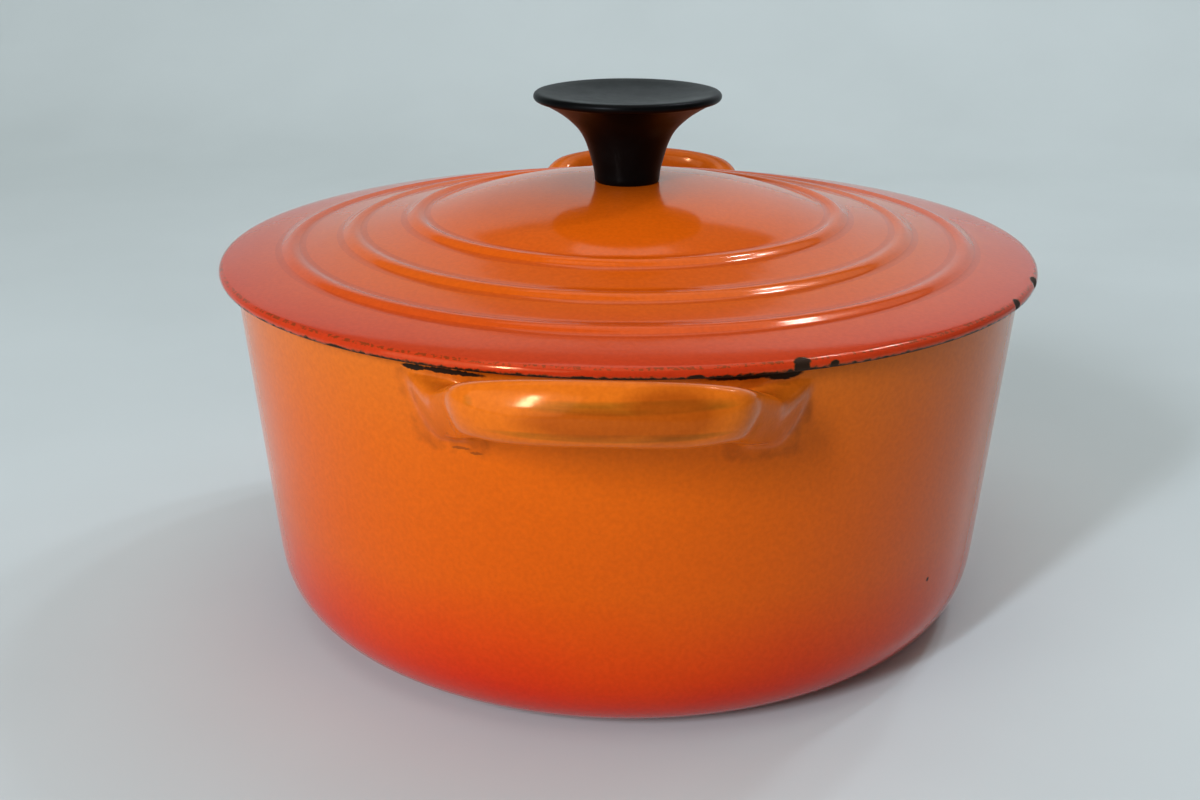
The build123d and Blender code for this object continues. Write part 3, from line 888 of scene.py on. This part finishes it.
def phenolic():
    """Compression-moulded black phenolic: smooth from the mould, dulled by years of handling."""
    material, tree, shader = new_material("black_phenolic_moulding")
    place = add(tree, "TexCoord").outputs["Object"]
    rub = add(tree, "TexNoise", {"Vector": place, "Scale": 1 / (7 * MM), "Detail": 6, "Roughness": 0.7})
    scuff = rub.outputs["Fac"]
    dulled = {"Value": scuff, "From Min": 0.3, "From Max": 0.7, "To Min": 0.29, "To Max": 0.38}
    gloss = add(tree, "MapRange", dulled).outputs[0]
    tree.links.new(gloss, shader.inputs["Roughness"])
    tone = add(tree, "ValToRGB", {"Fac": scuff}, stops=((0.3, "#040404"), (0.75, "#0a0a0a")))
    tree.links.new(tone.outputs["Color"], shader.inputs["Base Color"])
    fine = add(tree, "TexNoise", {"Vector": place, "Scale": 1 / (2.5 * MM), "Detail": 3})
    skin = add(tree, "Bump", {"Height": fine.outputs["Fac"], "Distance": 0.012 * MM})
    tree.links.new(skin.outputs["Normal"], shader.inputs["Normal"])
    shader.inputs["Specular IOR Level"].default_value = 0.06
    return material


def turned_metal(name, code, roughness):
    """Bar metal with the fine rings that a lathe tool leaves, 0.2 mm apart."""
    material, tree, shader = new_material(name)
    place = add(tree, "TexCoord").outputs["Object"]
    # the Wave node repeats every 0.314 divided by its scale
    rings = {"Vector": place, "Scale": 0.314 / (0.2 * MM), "Distortion": 1.5, "Detail": 2}
    tooling = add(tree, "TexWave", rings, bands_direction="Z").outputs["Fac"]
    skin = add(tree, "Bump", {"Height": tooling, "Distance": 0.004 * MM})
    tree.links.new(skin.outputs["Normal"], shader.inputs["Normal"])
    shade = add(tree, "TexNoise", {"Vector": place, "Scale": 1 / (2 * MM), "Detail": 4}).outputs["Fac"]
    uneven = {"Value": shade, "To Min": roughness - 0.08, "To Max": roughness + 0.12}
    tree.links.new(add(tree, "MapRange", uneven).outputs[0], shader.inputs["Roughness"])
    shader.inputs["Base Color"].default_value = linear(code)
    shader.inputs["Metallic"].default_value = 1.0
    return material


def studio_paper():
    """Matt pale paper under and behind the pot, with a painted pool of light that makes it whiter high up on
    the right.
    """
    material, tree, shader = new_material("matt_studio_paper")
    place = add(tree, "TexCoord").outputs["Object"]
    fibre = add(tree, "TexNoise", {"Vector": place, "Scale": 1 / (120 * MM), "Detail": 3}).outputs["Fac"]
    tone = add(tree, "ValToRGB", {"Fac": fibre}, stops=((0.3, "#c8d0cd"), (0.7, "#cdd5d2")))
    spot = add(tree, "SeparateXYZ", {"Vector": place}).outputs
    # painted light: the wall whitens towards its top and its right
    across = add(tree, "MapRange", {"Value": spot["X"], "From Min": -0.2, "From Max": 0.7}).outputs[0]
    upward = add(tree, "MapRange", {"Value": spot["Z"], "From Min": 0.1, "From Max": 0.4}).outputs[0]
    share = add(tree, "Math", {0: across, 1: upward}, operation="MULTIPLY").outputs[0]
    sockets = {FACTOR: share, COLOUR_A: tone.outputs["Color"], COLOUR_B: linear("#f6f7f6")}
    painted_light_wash = add(tree, "Mix", sockets, data_type="RGBA").outputs[COLOUR_OUT]
    tree.links.new(painted_light_wash, shader.inputs["Base Color"])
    shader.inputs["Roughness"].default_value = 0.85
    return material


# ---------------------------------------------------------------- stage, lamps and camera
# Azimuth and elevation in degrees, distance, width and height in metres, watts, and a colour.
LAMPS = {
    "window_left_pane": (-30.4, 26, 1.5, 0.028, 0.42, 6.6, "#e4eeff"),
    "window_right_pane": (-28.2, 26, 1.5, 0.028, 0.42, 6.6, "#e4eeff"),
    "window_glow": (-38, 20, 1.7, 1.5, 1.2, 9.6),
    "overhead": (-20, 75, 1.6, 1.3, 1.2, 5.0),
    "far_left_pane": (133, 58.5, 1.2, 0.05, 0.11, 1.4, "#e4eeff"),
    "far_right_pane": (125, 51.5, 1.2, 0.06, 0.12, 1.9, "#e4eeff"),
    "side_window": (112, 44, 1.4, 1.2, 0.8, 1.2),
    "high_back": (150, 67, 1.6, 1.6, 0.8, 3.6),
}
LAMP_TARGET = Vector((0, 0, 0.08))
WORLD_LIGHT = 0.19

# The camera's place in metres, the direction that it looks in, and its lens and sensor in mm.
CAMERA_PLACE = (0.0172, -0.4120, 0.19943)
CAMERA_LOOK = Vector((-0.0558, 0.9403, -0.3357))
CAMERA_LENS = 46.74
CAMERA_SENSOR = 36


def stage_sheet():
    """A pale floor that runs up in a bend into a low wall behind the pot."""
    wall, bend, top, front, half = 0.95, 0.35, 0.79, -12.0, 12.0
    curve = arc((wall - bend, bend), bend, -90, 0, 8)[1:]
    line = [(front, 0), (-0.3, 0), (wall - bend, 0), *curve, (wall, top)]
    bm = bmesh.new()
    verts = [bm.verts.new((-half, y, z)) for y, z in line]
    edges = [bm.edges.new(pair) for pair in zip(verts, verts[1:])]
    out = bmesh.ops.extrude_edge_only(bm, edges=edges)["geom"]
    bmesh.ops.translate(bm, verts=verts_in(out), vec=(2 * half, 0, 0))
    bmesh.ops.recalc_face_normals(bm, faces=bm.faces)
    mesh = bpy.data.meshes.new("backdrop")
    bm.to_mesh(mesh)
    bm.free()
    for polygon in mesh.polygons:
        polygon.use_smooth = True
    mesh.materials.append(studio_paper())
    sheet = bpy.data.objects.new("backdrop", mesh)
    bpy.context.collection.objects.link(sheet)


def lamp(name, azimuth, elevation, distance, width, height, watts, colour="#ffffff"):
    """A soft rectangular lamp that faces the pot; azimuth 0 is in front of it, 90 on its right."""
    light = bpy.data.lights.new(name, "AREA")
    light.shape = "RECTANGLE"
    light.size = width
    light.size_y = height
    light.energy = watts
    light.color = linear(colour)[:3]
    turn = math.radians(azimuth)
    rise = math.radians(elevation)
    offset = Vector((math.sin(turn) * math.cos(rise), -math.cos(turn) * math.cos(rise), math.sin(rise)))
    holder = bpy.data.objects.new(name, light)
    holder.location = LAMP_TARGET + distance * offset
    holder.rotation_euler = (-offset).to_track_quat("-Z", "Y").to_euler()
    bpy.context.collection.objects.link(holder)


def room_light():
    """The pale light of the room, the same from all sides."""
    world = bpy.data.worlds.new("studio")
    bpy.context.scene.world = world
    world.use_nodes = True
    room = world.node_tree.nodes["Background"]
    room.inputs["Color"].default_value = linear("#cfd6d6")
    room.inputs["Strength"].default_value = WORLD_LIGHT


def place_camera():
    """A camera in front of the pot, a little above its knob, looking down at it."""
    camera = bpy.data.objects.new("camera", bpy.data.cameras.new("camera"))
    camera.data.lens = CAMERA_LENS
    camera.data.sensor_width = CAMERA_SENSOR
    camera.location = CAMERA_PLACE
    camera.rotation_euler = CAMERA_LOOK.to_track_quat("-Z", "Y").to_euler()
    bpy.context.collection.objects.link(camera)
    bpy.context.scene.camera = camera


# ---------------------------------------------------------------- assembly
cream = cream_enamel()
black = black_rim()
steel = turned_metal("plated_steel", "#b5b3ad", 0.3)
brass = turned_metal("turned_brass", "#c39a4e", 0.32)
pot_casting([pot_enamel(), cream, black])
lid_casting([lid_enamel(), cream, black])
knob_moulding(phenolic())
knob_screw_machined(steel)
for node, metal in (("knob_insert", brass), ("flat_washer", steel), ("spring_washer", steel)):
    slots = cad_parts[node].data.materials
    slots.clear()
    slots.append(metal)

stage_sheet()
for lamp_name, settings in LAMPS.items():
    lamp(lamp_name, *settings)
room_light()
place_camera()
bpy.context.scene.view_settings.view_transform = "Standard"
